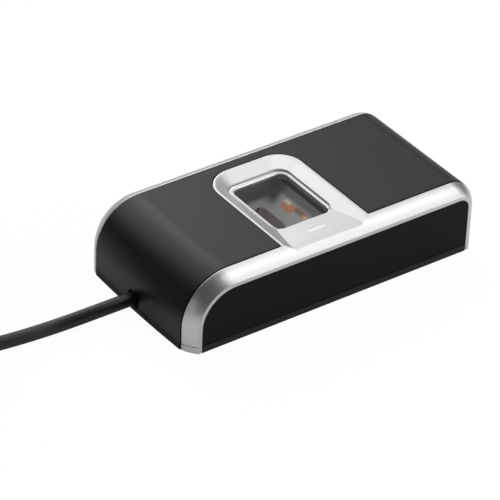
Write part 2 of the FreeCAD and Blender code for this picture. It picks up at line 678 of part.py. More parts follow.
def board_connector():
    shell = block(17.0, 22.0, 5.0, 11.6, BOARD_TOP, 9.8)
    return shell.cut(block(16.0, 20.8, 5.8, 10.8, 6.6, 9.0))


def wire_plug():
    return block(14.2, 20.7, 5.85, 10.75, 6.65, 8.95)


WIRE_RADIUS = 0.5
WIRE_PITCH = 1.2


def internal_wires():
    """Four wires from the cable gland, along the far wall, to the board's plug."""
    wires = []
    for i in range(4):
        shift = (i - 1.5) * WIRE_PITCH
        points = [V(GLAND_INNER, CABLE_EXIT.y + shift, 3.9),
                  V(GLAND_INNER + 3, CABLE_EXIT.y + shift, 3.9),
                  V(-30.0 - shift, 12.6 + shift * 0.6, 4.4), V(-20.0, 16.6 + shift * 0.75, 7.4),
                  V(3.0, 16.4 + shift * 0.75, 7.8), V(10.0 + shift * 0.4, 8.3 + shift, 7.8),
                  V(14.2, 8.3 + shift, 7.8)]
        wires.append(tube(points, WIRE_RADIUS, "wire"))
    return wires


def flex_cable():
    """Flat film cable from the sensor board to the main board, laid along the near wall."""
    thick = 0.15
    path = [(SENSOR_X + 2.6, 6.9), (-26.0, 6.7), (-16.0, 6.5), (0.0, 6.5), (9.0, 6.7), (14.0, 6.9)]
    corners = [V(x, FLEX_Y[0], z) for x, z in path]
    corners += [V(x, FLEX_Y[0], z + thick) for x, z in reversed(path)]
    return Part.Face(Part.makePolygon(corners + corners[:1])).extrude(V(0, FLEX_Y[1] - FLEX_Y[0], 0))


def flex_connectors():
    y0, y1 = FLEX_Y[0] - 0.2, FLEX_Y[1] + 0.2
    return Part.makeCompound([block(SENSOR_X + 1.0, SENSOR_X + 2.6, y0, y1, 5.8, 7.6),
                              block(14.0, 17.5, y0, y1, BOARD_TOP, BOARD_TOP + 1.8)])


def indicator_light_pipe():
    """Clear bar that carries the status light up to the slot in the finger rest."""
    top = tongue_z(SLOT_Y) - 0.12
    bar = indicator_slot(12.6, top)
    flange = block(SLOT_X[0] - 1, SLOT_X[1] + 1, SLOT_Y - 1.2, SLOT_Y + 1.2, CEILING - 1.1,
                   CEILING - 0.1)
    return joined([bar, flange])


def indicator_board():
    return block(-6.5, 2.5, -19.2, -14.2, 10.2, 11.0)


def indicator_led():
    middle = sum(SLOT_X) / 2
    return joined([block(middle - 1.6, middle + 1.6, SLOT_Y - 0.8, SLOT_Y + 0.8, 11.0, 12.0),
                   block(middle - 1.0, middle + 1.0, SLOT_Y - 0.6, SLOT_Y + 0.6, 12.0, 12.5)])


# ---- cable ----------------------------------------------------------------------------------------
def cable_gland():
    """Rubber block moulded on the cable; a groove round it holds it in the end wall."""
    y0, y1 = NOTCH_Y - NOTCH_HALF + SEAT, NOTCH_Y + NOTCH_HALF - SEAT
    low, high = PARTING_TOP + SEAT, NOTCH_TOP - SEAT

    def plate(x0, x1, grow):
        corners = [V(x0, y0 - grow, low), V(x0, y1 + grow, low), V(x0, y1 + grow, high + grow),
                   V(x0, y0 - grow, high + grow)]
        return Part.Face(outline(corners, [0, 0, 1.9 + grow, 1.9 + grow])).extrude(V(x1 - x0, 0, 0))

    wall = HALF_LENGTH - CAVITY_INSET
    tongue = block(CABLE_EXIT.x, GLAND_INNER, CABLE_EXIT.y - SADDLE_HALF + SEAT,
                   CABLE_EXIT.y + SADDLE_HALF - SEAT, SADDLE_Z + SEAT, low + 1)
    return joined([plate(CABLE_EXIT.x, -wall + 0.3, 0.0), plate(-wall + SEAT, GLAND_INNER, 1.1), tongue])


COIL_INNER = COIL_TURN_RADIUS - COIL_COLUMNS * CABLE_RADIUS
COIL_OUTER = COIL_TURN_RADIUS + COIL_COLUMNS * CABLE_RADIUS
COIL_TOP = 2 * CABLE_RADIUS * COIL_LAYERS
COIL_CENTRE = V(COIL_X, COIL_NEAR + COIL_OUTER - CABLE_RADIUS, 0)
PLUG_X = -117.5
PLUG_Y = 7.5
PLUG_Z = 3.9
CABLE_ROUTE = [CABLE_EXIT, V(-54.0, 1.45, 4.0), V(-68.0, 4.0, 1.9), V(-80.0, 4.85, 1.9),
               V(-90.0, 6.3, 1.9), V(COIL_X, COIL_NEAR, CABLE_RADIUS)]
TAIL_ROUTE = [V(COIL_X, COIL_NEAR, 3 * CABLE_RADIUS), V(-106.0, 6.7, 5.4), V(-112.0, 7.1, 4.2),
              V(PLUG_X, PLUG_Y, PLUG_Z)]
CONTACT_YS = [PLUG_Y - 3.5, PLUG_Y - 1.0, PLUG_Y + 1.0, PLUG_Y + 3.5]
TIE_ANGLE = 60.0
TIE_WIDTH = 3.0
TIE_THICK = 0.5


def coil_ring(grow=0.0):
    """Outer shape of the wound cable: a ring with rounded corners."""
    x, y = COIL_CENTRE.x, COIL_CENTRE.y
    low, high = 0.0 - grow, COIL_TOP + grow
    corners = [V(x + COIL_INNER - grow, y, low), V(x + COIL_OUTER + grow, y, low),
               V(x + COIL_OUTER + grow, y, high), V(x + COIL_INNER - grow, y, high)]
    section = Part.Face(outline(corners, [CABLE_RADIUS] * 4))
    return section.revolve(V(x, y, 0), V(0, 0, 1), 360)


def tie_sector(width):
    """Thin radial slice of space across the ring where the tie goes."""
    slice_ = block(0, COIL_OUTER + 5, -width / 2, width / 2, -1, COIL_TOP + 5)
    slice_.rotate(V(0, 0, 0), V(0, 0, 1), TIE_ANGLE)
    slice_.translate(COIL_CENTRE)
    return slice_


def cable_tie():
    """Flat strap pulled round the bundle, let into it so that the coil still lies flat."""
    return coil_ring().cut(coil_ring(-TIE_THICK)).common(tie_sector(TIE_WIDTH))


def usb_cable_coil():
    return coil_ring().cut(cable_tie())


def beside_coil(cable, x0, x1):
    """The stretch of a cable between two places along X, trimmed where it lies against the coil."""
    coil = post(COIL_CENTRE.x, COIL_CENTRE.y, -1, COIL_TOP + 5, COIL_OUTER)
    return cable.cut(coil).common(block(x0, x1, -BEYOND, BEYOND, -BEYOND, BEYOND))


def usb_cable():
    return beside_coil(tube(CABLE_ROUTE, CABLE_RADIUS, "usb_cable"), COIL_X + 8, CABLE_EXIT.x)


def usb_cable_tail():
    return beside_coil(tube(TAIL_ROUTE, CABLE_RADIUS, "usb_cable_tail"), PLUG_X, COIL_X - 8)


def plug_overmould():
    """Moulded grip of the plug, narrowing to a ribbed neck round the cable."""
    grip = upright(plan(PLUG_X - 32.0, PLUG_X - 8.0, PLUG_Y - 7.8, PLUG_Y + 7.8, 0.0,
                        near=2.0, far=2.0), 2 * PLUG_Z)
    grip = grip.makeFillet(1.2, [e for e in grip.Edges if e.BoundBox.ZMax < 0.01
                                 or e.BoundBox.ZMin > 2 * PLUG_Z - 0.01])
    neck = Part.makeCone(2.5, 3.4, 8.5, V(PLUG_X, PLUG_Y, PLUG_Z), V(-1, 0, 0))
    body = joined([grip, neck])
    for i in range(3):
        x = PLUG_X - 2.2 - 1.9 * i
        ring = Part.makeCylinder(5, 0.8, V(x, PLUG_Y, PLUG_Z), V(-1, 0, 0))
        ring = ring.cut(Part.makeCylinder(2.2, 0.8, V(x, PLUG_Y, PLUG_Z), V(-1, 0, 0)))
        body = body.cut(ring)
    shell_room = block(PLUG_X - 33, PLUG_X - 26, PLUG_Y - 6.0, PLUG_Y + 6.0, PLUG_Z - 2.25,
                       PLUG_Z + 2.25)
    return body.cut(shell_room)


def plug_shell():
    """Folded steel shell of the USB-A plug with its four latch holes."""
    x0, x1 = PLUG_X - 32.0 - 18.7, PLUG_X - 26.0
    shell = block(x0, x1, PLUG_Y - 6.0, PLUG_Y + 6.0, PLUG_Z - 2.25, PLUG_Z + 2.25)
    shell = shell.makeFillet(0.5, [e for e in shell.Edges if e.BoundBox.XLength > 10])
    shell = shell.cut(block(x0 - 1, x1 - 0.4, PLUG_Y - 5.7, PLUG_Y + 5.7, PLUG_Z - 1.95,
                            PLUG_Z + 1.95))
    for side in (-1, 1):
        middle = PLUG_Y + side * 2.9
        shell = shell.cut(block(x0 + 5.2, x0 + 7.7, middle - 1.25, middle + 1.25, 0, 8))
    return shell


def plug_insulator():
    x0, x1 = PLUG_X - 32.0 - 17.9, PLUG_X - 26.5
    core = joined([block(x0, x1, PLUG_Y - 5.65, PLUG_Y + 5.65, PLUG_Z - 1.9, PLUG_Z - 0.1),
                   block(x1 - 4, x1, PLUG_Y - 5.65, PLUG_Y + 5.65, PLUG_Z - 1.9, PLUG_Z + 1.9)])
    for y in CONTACT_YS:
        core = core.cut(block(x0 + 1.0, x1 - 4, y - 0.55, y + 0.55, PLUG_Z - 0.35, PLUG_Z))
    return core


def plug_contacts():
    x0, x1 = PLUG_X - 32.0 - 17.9, PLUG_X - 30.5
    return Part.makeCompound([block(x0 + 1.0, x1, y - 0.5, y + 0.5, PLUG_Z - 0.35, PLUG_Z - 0.05)
                              for y in CONTACT_YS])


# ---- fasteners ------------------------------------------------------------------------------------
def case_screws():
    return Part.makeCompound([cross_screw(x, y, UNDERSIDE + 0.45, 2.0, 1.2, 0.95, 9.0)
                              for x, y in SCREW_SPOTS])


def board_screws():
    return Part.makeCompound([cross_screw(x, y, BOARD_TOP + 1.0, 1.7, 1.0, 0.8, 2.4, up=-1)
                              for x, y in BOARD_POSTS])


def optics_screws():
    return Part.makeCompound([cross_screw(x, y, HOUSING_Z + 2.6, 1.7, 1.0, 0.8, 1.8, up=-1)
                              for x, y in OPTICS_SCREWS])


# ---- all pieces -----------------------------------------------------------------------------------
PIECES = {
    "bottom_cover": bottom_cover(),
    "rubber_feet": rubber_feet(),
    "upper_case": upper_case(),
    "top_cover": top_cover(),
    "side_panel_near": side_panel(-1),
    "side_panel_far": side_panel(1),
    "window_frame": window_frame(),
    "prism": prism(),
    "prism_gasket": prism_gasket(),
    "optics_housing": optics_housing(),
    "fold_mirror": fold_mirror(),
    "diffuser_plate": diffuser_plate(),
    "illumination_leds": illumination_leds(),
    "light_board": light_board(),
    "lens_barrel": lens_barrel(),
    "lens_elements": lens_elements(),
    "lens_holder": lens_holder(),
    "sensor_board": sensor_board(),
    "image_sensor": image_sensor(),
    "main_board": main_board(),
    "controller_chip": chip(28.0, 3.5, 10.0, 7.0, 1.6, 8, 1.2),
    "memory_chip": chip(34.6, -6.0, 5.2, 5.0, 1.5, 4, 1.27),
    "crystal": crystal(),
    "small_parts": small_parts(),
    "board_connector": board_connector(),
    "wire_plug": wire_plug(),
    "internal_wires": Part.makeCompound(internal_wires()),
    "flex_cable": flex_cable(),
    "flex_connectors": flex_connectors(),
    "indicator_light_pipe": indicator_light_pipe(),
    "indicator_board": indicator_board(),
    "indicator_led": indicator_led(),
    "case_screws": case_screws(),
    "board_screws": board_screws(),
    "optics_screws": optics_screws(),
    "cable_gland": cable_gland(),
    "usb_cable": usb_cable(),
    "usb_cable_coil": usb_cable_coil(),
    "usb_cable_tail": usb_cable_tail(),
    "cable_tie": cable_tie(),
    "plug_overmould": plug_overmould(),
    "plug_shell": plug_shell(),
    "plug_insulator": plug_insulator(),
    "plug_contacts": plug_contacts(),
}

os.makedirs("parts", exist_ok=True)
for name, piece in PIECES.items():
    piece.exportStep("parts/" + name + ".step")
print(len(PIECES), "pieces")
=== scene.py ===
"""Desktop fingerprint scanner: a dark cover between two silver bands, a framed window in a silver
finger guide, and a captive USB lead. Everything is in metres, in the same frame as the solids."""
import math

import bpy
from mathutils import Matrix, Vector


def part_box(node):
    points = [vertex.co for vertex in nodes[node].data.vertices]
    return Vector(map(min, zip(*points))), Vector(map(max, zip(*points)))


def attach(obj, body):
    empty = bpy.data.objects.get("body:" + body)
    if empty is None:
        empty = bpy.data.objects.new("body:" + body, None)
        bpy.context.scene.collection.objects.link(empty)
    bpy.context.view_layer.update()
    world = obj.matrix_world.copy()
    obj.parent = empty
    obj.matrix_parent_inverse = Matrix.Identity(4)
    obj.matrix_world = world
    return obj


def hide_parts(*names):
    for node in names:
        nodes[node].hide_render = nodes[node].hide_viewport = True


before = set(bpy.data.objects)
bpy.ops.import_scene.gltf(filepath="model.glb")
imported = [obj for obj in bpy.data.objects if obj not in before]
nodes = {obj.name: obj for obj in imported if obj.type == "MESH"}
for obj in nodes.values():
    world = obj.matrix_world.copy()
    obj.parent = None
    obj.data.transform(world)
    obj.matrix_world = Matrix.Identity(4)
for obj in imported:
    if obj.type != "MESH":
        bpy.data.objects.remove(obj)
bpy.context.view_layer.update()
bpy.ops.object.select_all(action="DESELECT")

# ---- Camera ------------------------------------------------------------------------------------
# A long lens looks down at the cable end and the near side from about 0.86 m away.
# The horizon is tipped by a little over two degrees.
bpy.ops.object.camera_add()
camera = bpy.context.object
camera.name = "camera"
camera_place = (-0.42777, -0.56323, 0.49282)
camera_azimuth, camera_elevation, camera_tip = -36.496, 34.764, 2.2705
camera.matrix_world = (Matrix.Translation(camera_place)
                       @ Matrix.Rotation(math.radians(camera_azimuth), 4, "Z")
                       @ Matrix.Rotation(math.radians(90 - camera_elevation), 4, "X")
                       @ Matrix.Rotation(math.radians(camera_tip), 4, "Z"))
camera.data.sensor_width = 36
camera.data.lens = 230.57
bpy.context.scene.camera = camera


# ---- USB lead ----------------------------------------------------------------------------------
# Soft black PVC jacket, 3.8 mm thick. It leaves the gland level, comes down to the desk, and its
# spare length is wound into a neat coil of eleven rounds before the short run to the plug.
class Value:
    """A number, colour or vector inside a material, for use in plain expressions."""

    def __init__(self, finish, socket):
        self.finish, self.socket = finish, socket

    def maths(self, operation, first, second=0.0):
        return self.finish.maths(operation, first, second)

    def __add__(self, other):
        return self.maths("ADD", self, other)

    def __radd__(self, other):
        return self.maths("ADD", other, self)

    def __sub__(self, other):
        return self.maths("SUBTRACT", self, other)

    def __rsub__(self, other):
        return self.maths("SUBTRACT", other, self)

    def __mul__(self, other):
        return self.maths("MULTIPLY", self, other)

    def __rmul__(self, other):
        return self.maths("MULTIPLY", other, self)

    def __gt__(self, other):
        return self.maths("GREATER_THAN", self, other)

    def __lt__(self, other):
        return self.maths("LESS_THAN", self, other)


class Finish:
    """A material with a Principled shader; constants are set on its own sockets."""

    def __init__(self, name, constants):
        self.material = bpy.data.materials.new(name)
        self.material.use_nodes = True
        self.tree = self.material.node_tree
        self.shader = self.tree.nodes["Principled BSDF"]
        self.fill(self.shader, constants)
        self.place = self.node("ShaderNodeTexCoord", {}, {}, "Object")

    def fill(self, node, sockets):
        """Gives each named socket its link or its plain value."""
        for name, value in sockets.items():
            if isinstance(value, Value):
                self.tree.links.new(value.socket, node.inputs[name])
            else:
                node.inputs[name].default_value = value

    def node(self, kind, settings, sockets, output=0):
        """Adds a node: its settings first, then the values or links of its sockets."""
        made = self.tree.nodes.new(kind)
        for name, value in settings.items():
            setattr(made, name, value)
        self.fill(made, sockets)
        return Value(self, made.outputs[output])

    def maths(self, operation, first, second=0.0):
        return self.node("ShaderNodeMath", {"operation": operation}, {0: first, 1: second})

    def noise(self, scale, detail=2.0, vector=None):
        return self.node("ShaderNodeTexNoise", {}, {"Vector": vector or self.place, "Scale": scale,
                                                    "Detail": detail})

    def stretched(self, x, y, z):
        """Object coordinates scaled by a different amount along each axis."""
        return self.node("ShaderNodeMapping", {}, {"Vector": self.place, "Scale": (x, y, z)})

    def parts(self):
        """The object coordinates as three numbers."""
        split = self.node("ShaderNodeSeparateXYZ", {}, {"Vector": self.place})
        return [Value(self, split.socket.node.outputs[axis]) for axis in range(3)]

    def blend(self, factor, first, second):
        """Mixes two colours."""
        return self.node("ShaderNodeMix", {"data_type": "RGBA"}, {0: factor, 6: first, 7: second}, 2)

    def bump(self, height, distance):
        self.fill(self.shader, {"Normal": self.node(
            "ShaderNodeBump", {}, {"Height": height, "Distance": distance})})

    def vary(self, sockets):
        """Feeds the shader's sockets with what changes over the surface."""
        self.fill(self.shader, sockets)

    def on(self, *names):
        """Puts the material on the named nodes."""
        for name in names:
            nodes[name].material_slots[0].material = self.material


def grey(level):
    """A plain grey of this level."""
    return (level, level, level, 1.0)


cable_radius, lead_length = 0.0019, 1.40
cable_exit = (-0.0467, 0.0014, 0.0040)
cable_run = [cable_exit, (-0.0540, 0.00145, 0.0040), (-0.0680, 0.0040, 0.0019),
             (-0.0800, 0.00485, 0.0019), (-0.0900, 0.0063, 0.0019)]
coil_x, coil_near = -0.1005, 0.0067
tail_run = [(-0.1060, 0.0067, 0.0054), (-0.1120, 0.0071, 0.0042), (-0.1175, 0.0075, 0.0039)]
coil_radius = 0.0187
pitch = 2 * cable_radius
coil_y = coil_near + coil_radius + pitch
coil_middle = 2 * pitch
points_per_turn = 24
tie_angle = math.radians(60)
# the tie squeezes the bundle by this share, within this angle of itself
tie_squeeze, tie_reach = 0.15, 0.2
crossing_share = 1 / 6  # of a round, in which a strand moves to its next slot
chord_spread = 1.0057  # makes up for the smooth curve's short cuts between its points
# column (-1 inner to 1 outer) and layer of each turn, in the order of winding
coil_slots = [(1, 0), (0, 0), (-1, 0), (-1, 1), (-1, 2), (-1, 3), (0, 3), (1, 3), (1, 2), (0, 2),
              (0, 1), (1, 1)]
rounds = len(coil_slots) - 1


def slot_place(turn):
    """Radius and height of a turn's own slot in the coil."""
    column, layer = coil_slots[turn]
    return coil_radius + column * pitch, cable_radius + layer * pitch


def coil_point(done):
    """Point of the coil after so many rounds, clockwise from where the cable joins it.

    A turn lasts a little less than a round, so each crossing to the next slot comes before the
    last one and the strands never meet.
    """
    turn_length = rounds / len(coil_slots)
    turn = round(done / turn_length)
    radius, height = slot_place(min(turn, rounds))
    if 0 < turn <= rounds:
        last_radius, last_height = slot_place(turn - 1)
        crossed = min(max((done - turn * turn_length) / crossing_share + 0.5, 0), 1)
        crossed = crossed * crossed * (3 - 2 * crossed)
        radius = last_radius + (radius - last_radius) * crossed
        height = last_height + (height - last_height) * crossed
    angle = math.radians(-90) - done * math.tau
    off_tie = math.remainder(angle - tie_angle, math.tau)
    tight = 1 - tie_squeeze * math.exp(-(off_tie / tie_reach) ** 2)
    radius = (coil_radius + (radius - coil_radius) * tight) * chord_spread
    height = coil_middle + (height - coil_middle) * tight
    return (coil_x + radius * math.cos(angle), coil_y + radius * math.sin(angle), height)


cable_points = list(cable_run)
cable_points += [coil_point(step / points_per_turn) for step in range(rounds * points_per_turn + 1)]
cable_points += tail_run
curve = bpy.data.curves.new("usb_lead", "CURVE")
curve.dimensions = "3D"
line = curve.splines.new("NURBS")
line.points.add(len(cable_points) - 1)
for point, place in zip(line.points, cable_points):
    point.co = (*place, 1)
    point.radius = cable_radius
line.order_u = 3
line.use_endpoint_u = True
line.resolution_u = 6
curve.bevel_depth = 1.0  # metres, times each point's radius
curve.bevel_resolution = 6
curve.use_fill_caps = True
usb_lead = bpy.data.objects.new("usb_lead", curve)
bpy.context.collection.objects.link(usb_lead)
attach(usb_lead, "root")
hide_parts("usb_cable", "usb_cable_coil", "usb_cable_tail")

jacket = Finish("cable_jacket", {})
skin = jacket.noise(300, 3)
jacket.vary({"Base Color": jacket.blend(skin, grey(0.008), grey(0.016)),
             "Roughness": 0.28 + skin * 0.16})
jacket.bump(jacket.noise(2500), 0.00002)
curve.materials.append(jacket.material)
jacket.on("cable_gland")

# ---- Plug and tie ------------------------------------------------------------------------------
# USB-A plug: a folded nickel-plated shell with scratches from being pushed in, a black core, gilt
# contacts, and a moulded PVC grip. A ribbed nylon tie holds the coil.
grip = Finish("plug_grip", {"Base Color": grey(0.014)})
grain = grip.noise(1800, 3)
grip.vary({"Roughness": 0.42 + grain * 0.2})
grip.bump(grain, 0.00004)
grip.on("plug_overmould")

plated = Finish("plug_plating", {"Metallic": 1.0})
scratches = plated.noise(1, 2, plated.stretched(150, 6000, 6000))
tarnish = plated.noise(350, 3)
plated.vary({"Base Color": plated.blend(tarnish, grey(0.66), grey(0.52)),
             "Roughness": 0.16 + scratches * 0.2 + tarnish * 0.06})
plated.bump(scratches, 0.000006)
plated.on("plug_shell")

core = Finish("plug_core", {"Base Color": grey(0.015)})
grain = core.noise(1500)
core.vary({"Roughness": 0.4 + grain * 0.15})
core.bump(grain, 0.00002)
core.on("plug_insulator")

gilt = Finish("gilt", {"Metallic": 1.0})
rubbed = gilt.noise(1, 2, gilt.stretched(300, 5000, 5000))
gilt.vary({"Base Color": gilt.blend(rubbed, (0.80, 0.55, 0.20, 1), (0.66, 0.44, 0.17, 1)),
           "Roughness": 0.2 + rubbed * 0.2})
gilt.on("plug_contacts")

nylon_tie = Finish("tie_nylon", {"Base Color": grey(0.012)})
ribs = nylon_tie.node("ShaderNodeTexWave", {"bands_direction": "Z"},
                      {"Vector": nylon_tie.place, "Scale": 400.0})
nylon_tie.vary({"Roughness": 0.34 + ribs * 0.12})
nylon_tie.bump(ribs, 0.00008)
nylon_tie.on("cable_tie")

# ---- Bottom cover and feet ---------------------------------------------------------------------
# Matt black moulded tray that closes the body from below, on four rubber feet that pick up dust.
# Its edge runs on past the side panels, and is let down almost to the desk as painted shade:
# a dark strip in place of the shadow under the body.
matt_black = Finish("base_plastic", {"Specular IOR Level": 0.35})
spark = matt_black.noise(2600, 3)
flow = matt_black.noise(45, 2)
matt_black.vary({"Base Color": matt_black.blend(flow, grey(0.006), grey(0.011)),
                 "Roughness": 0.46 + spark * 0.16})
matt_black.bump(spark, 0.00005)


def merged_copy(node_name, copy_name):
    """Copies a solid's mesh, merges its loose triangles and leaves the copy in edit mode."""
    bpy.ops.object.select_all(action="DESELECT")
    nodes[node_name].select_set(True)
    bpy.context.view_layer.objects.active = nodes[node_name]
    bpy.ops.object.duplicate()
    copy = bpy.context.object
    copy.name = copy.data.name = copy_name
    bpy.ops.mesh.customdata_custom_splitnormals_clear()
    bpy.ops.object.mode_set(mode="EDIT")
    bpy.ops.mesh.select_all(action="SELECT")
    bpy.ops.mesh.remove_doubles(threshold=merge_distance)
    bpy.ops.mesh.select_mode(type="VERT")
    return copy


def select_vertices(piece, chosen):
    """Selects the vertices of the piece in edit mode whose places are chosen, and no others."""
    bpy.ops.mesh.select_all(action="DESELECT")
    bpy.ops.object.mode_set(mode="OBJECT")
    for vertex in piece.data.vertices:
        vertex.select = chosen(vertex.co)
    bpy.ops.object.mode_set(mode="EDIT")


def smooth_and_coat(piece, sharp_angle, finish):
    """Leaves edit mode, smooths all but the sharp edges and gives the piece its only material."""
    bpy.ops.object.mode_set(mode="OBJECT")
    bpy.ops.object.shade_smooth_by_angle(angle=math.radians(sharp_angle))
    piece.data.materials.clear()
    piece.data.materials.append(finish.material)


merge_distance = 0.000002
# how far up from the bottom the edge reaches, and how far it is let down; the let-down edge
# is painted shade, standing in for the shadow under the body
edge_reach, shade_gap_drop = 0.00001, 0.00027
# how far in from the sides the walls reach, and their widening
wall_reach, wall_widening = 0.0004, 1.004
tray_low, tray_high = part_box("bottom_cover")
tray = merged_copy("bottom_cover", "bottom_tray")
select_vertices(tray, lambda place: place.z < tray_low.z + edge_reach)
bpy.ops.transform.translate(value=(0, 0, -shade_gap_drop))
select_vertices(tray, lambda place: abs(place.y) > tray_high.y - wall_reach)
bpy.ops.transform.resize(value=(1, wall_widening, 1), center_override=(0, 0, 0))
smooth_and_coat(tray, 30, matt_black)
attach(tray, "root")
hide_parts("bottom_cover")

rubber = Finish("foot_rubber", {})
dust = rubber.noise(700, 4)
rubber.vary({"Base Color": rubber.blend(dust, grey(0.014), grey(0.045)),
             "Roughness": 0.7 + dust * 0.2})
rubber.bump(rubber.noise(3500), 0.00005)
rubber.on("rubber_feet")

# ---- Upper case --------------------------------------------------------------------------------
# Moulded in one with both bands, the finger guide and its lip, and sprayed with a satin silver
# paint. Its fine metal flake glints, and the coat is a little uneven from place to place.
silver = Finish("silver_paint", {"Metallic": 0.92})
flake = silver.noise(7000, 1)
cloud = silver.noise(70, 3)
silver.vary({"Base Color": silver.blend(flake * 0.6 + cloud * 0.4, grey(0.66), grey(0.84)),
             "Roughness": 0.31 + cloud * 0.08 + flake * 0.04})
silver.bump(flake, 0.000004)
silver.on("upper_case")

# ---- Top cover and side panels -----------------------------------------------------------------
# Black ABS: the cover has a fine spark-eroded texture and a satin sheen, and the side panels are
# smoother, with faint waves from the moulding.
cover = Finish("cover_plastic", {"Specular IOR Level": 0.47})
spark = cover.noise(4200, 3)
flow = cover.noise(40, 2)
cover.vary({"Base Color": cover.blend(flow, grey(0.006), grey(0.010)),
            "Roughness": 0.34 + spark * 0.08 + flow * 0.04})
cover.bump(spark, 0.000025)
cover.on("top_cover")

panel = Finish("panel_plastic", {"Specular IOR Level": 0.13})
spark = panel.noise(3800, 3)
waves = panel.noise(55, 2)
panel.vary({"Base Color": panel.blend(waves, grey(0.003), grey(0.006)),
            "Roughness": 0.34 + spark * 0.1 + waves * 0.04})
panel.bump(spark, 0.00002)
panel.on("side_panel_near", "side_panel_far")

# ---- Window ------------------------------------------------------------------------------------
# The frame is plated plastic, and the glass is a dark, glossy prism with a trace of finger grease.
# The plate shows through it; it glows with painted light and has painted shade and highlights.
# A thin painted mask below it glows a little too. The prism's polished far end mirrors the plate,
# so a film there carries a painted reflection of it, which glows a little and has painted shade
# at the top.
bright = Finish("frame_plating", {"Metallic": 0.6})
pits = bright.noise(2000, 3)
bright.vary({"Base Color": bright.blend(pits, grey(0.84), grey(0.92)),
             "Roughness": 0.3 + pits * 0.12})
bright.bump(pits, 0.000004)

window_middle_x, window_near_y = -0.00213, -0.0117
# half width, far end and corner radius of the frame's outer rim and of its opening
rim = (0.00957, 0.01175, 0.0033)
opening = (0.00877, 0.0107, 0.0025)
# the lowest height of each, its reach inside and outside its outline, and its growth in x and y
rim_low, rim_inner, rim_outer, rim_growth = 0.0183, -0.00034, 0.00005, (1.016, 1.0055)
lip_low, lip_inner, lip_outer, lip_growth = 0.0191, -0.00005, 0.00043, (0.968, 0.9875)


def outside(place, half_x, far_y, corner):
    """How far a place is outside a rounded outline of the window, seen from above."""
    x = abs(place.x - window_middle_x) - (half_x - corner)
    y = place.y - (far_y - corner)
    return math.hypot(max(x, 0), max(y, 0)) + min(max(x, y), 0) - corner


def resize_window(width_scale, length_scale):
    """Scales what is selected about the middle of the window's near end."""
    bpy.ops.transform.resize(value=(width_scale, length_scale, 1),
                             center_override=(window_middle_x, window_near_y, 0))


surround = merged_copy("window_frame", "window_surround")
select_vertices(surround, lambda place: place.z > rim_low
                and rim_inner < outside(place, *rim) < rim_outer)
resize_window(*rim_growth)
select_vertices(surround, lambda place: place.z > lip_low
                and lip_inner < outside(place, *opening) < lip_outer)
resize_window(*lip_growth)
smooth_and_coat(surround, 35, bright)
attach(surround, "root")
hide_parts("window_frame")

glass = Finish("window_glass", {})
grease = glass.noise(140, 4)
glass.vary({"Base Color": glass.blend(grease, grey(0.26), grey(0.36)),
            "Roughness": 0.02 + grease * 0.08, "Alpha": 0.10 + grease * 0.05})
glass.on("prism")

# The light pipe glows a little as painted light, so that it looks lit in its recess.
light_pipe = Finish("milky_acrylic_painted_glow", {"Roughness": 0.3, "Emission Strength": 0.35,
                                      "Emission Color": grey(1.0)})
milk = light_pipe.noise(900, 2)
light_pipe.vary({"Base Color": light_pipe.blend(milk, grey(0.86), grey(0.95))})
light_pipe.bump(milk, 0.00001)
light_pipe.on("indicator_light_pipe")

foam = Finish("gasket_foam", {"Roughness": 0.95})
cells = foam.node("ShaderNodeTexVoronoi", {}, {"Vector": foam.place, "Scale": 4500.0})
foam.vary({"Base Color": foam.blend(cells, grey(0.005), grey(0.02))})
foam.bump(cells, 0.00006)
foam.on("prism_gasket")

# Painted light: the plate glows a little, with no lamp inside, and carries painted shade and painted
# highlights besides the colours of the parts behind it.
plate = Finish("plate_painted_light", {"Roughness": 0.45, "Emission Strength": 0.22})
across, along, _ = plate.parts()


def soft_strip(position, middle, half, edge):
    """1 within half of the middle and 0 beyond it, with a soft edge."""
    return plate.node("ShaderNodeMapRange", {"interpolation_type": "SMOOTHSTEP"},
                      {"Value": plate.maths("ABSOLUTE", position - middle), "From Min": half + edge,
                       "From Max": half - edge, "To Min": 0.0, "To Max": 1.0})


whole = (0.0, 1.0, 0.1)
# colour, then middle, half width and softness of edge across the window, then the same along it
plate_marks = [
    # painted shade on the plate's far part, in these three rows
    (grey(0.20), (0.0056, 0.0012, 0.0006), whole),
    (grey(0.08), (0.0052, 0.0036, 0.0014), (0.0110, 0.0034, 0.0014)),
    (grey(0.12), whole, (0.0134, 0.0022, 0.0010)),
    ((0.42, 0.36, 0.38, 1), (-0.0013, 0.0009, 0.0004), whole),
    ((0.22, 0.10, 0.08, 1), (-0.0002, 0.00035, 0.0003), (0.0048, 0.0052, 0.0010)),
    ((0.40, 0.20, 0.13, 1), (0.0037, 0.0005, 0.0003), (-0.0020, 0.0026, 0.0008)),
    ((0.85, 0.36, 0.20, 1), (0.0031, 0.0009, 0.0003), (0.0030, 0.0024, 0.0006)),
    # a painted glow and a painted highlight on the amber part, in these two rows
    ((1.00, 0.62, 0.42, 1), (0.0032, 0.0006, 0.0003), (-0.0048, 0.0014, 0.0008)),
    ((1.00, 0.95, 0.75, 1), (0.0038, 0.0004, 0.0003), (0.0040, 0.0013, 0.0005))]
mottle = plate.noise(500, 3)
tone = plate.blend(mottle, grey(0.52), grey(0.62))
for colour, sideways, lengthways in plate_marks:
    mark = soft_strip(across, *sideways) * soft_strip(along, *lengthways)
    tone = plate.blend(mark, tone, colour)
plate.vary({"Base Color": tone, "Emission Color": tone})
plate.bump(mottle, 0.00002)
plate.on("diffuser_plate")

film_thickness = 0.00005


def set_in_place(film, place, turn):
    """Gives a flat film its thickness, then turns it and fixes it in its place."""
    solidify = film.modifiers.new("thickness", "SOLIDIFY")
    solidify.thickness = film_thickness
    solidify.offset = 0
    bpy.ops.object.modifier_apply(modifier=solidify.name)
    film.location = place
    film.rotation_euler = turn
    bpy.ops.object.transform_apply(location=True, rotation=True)


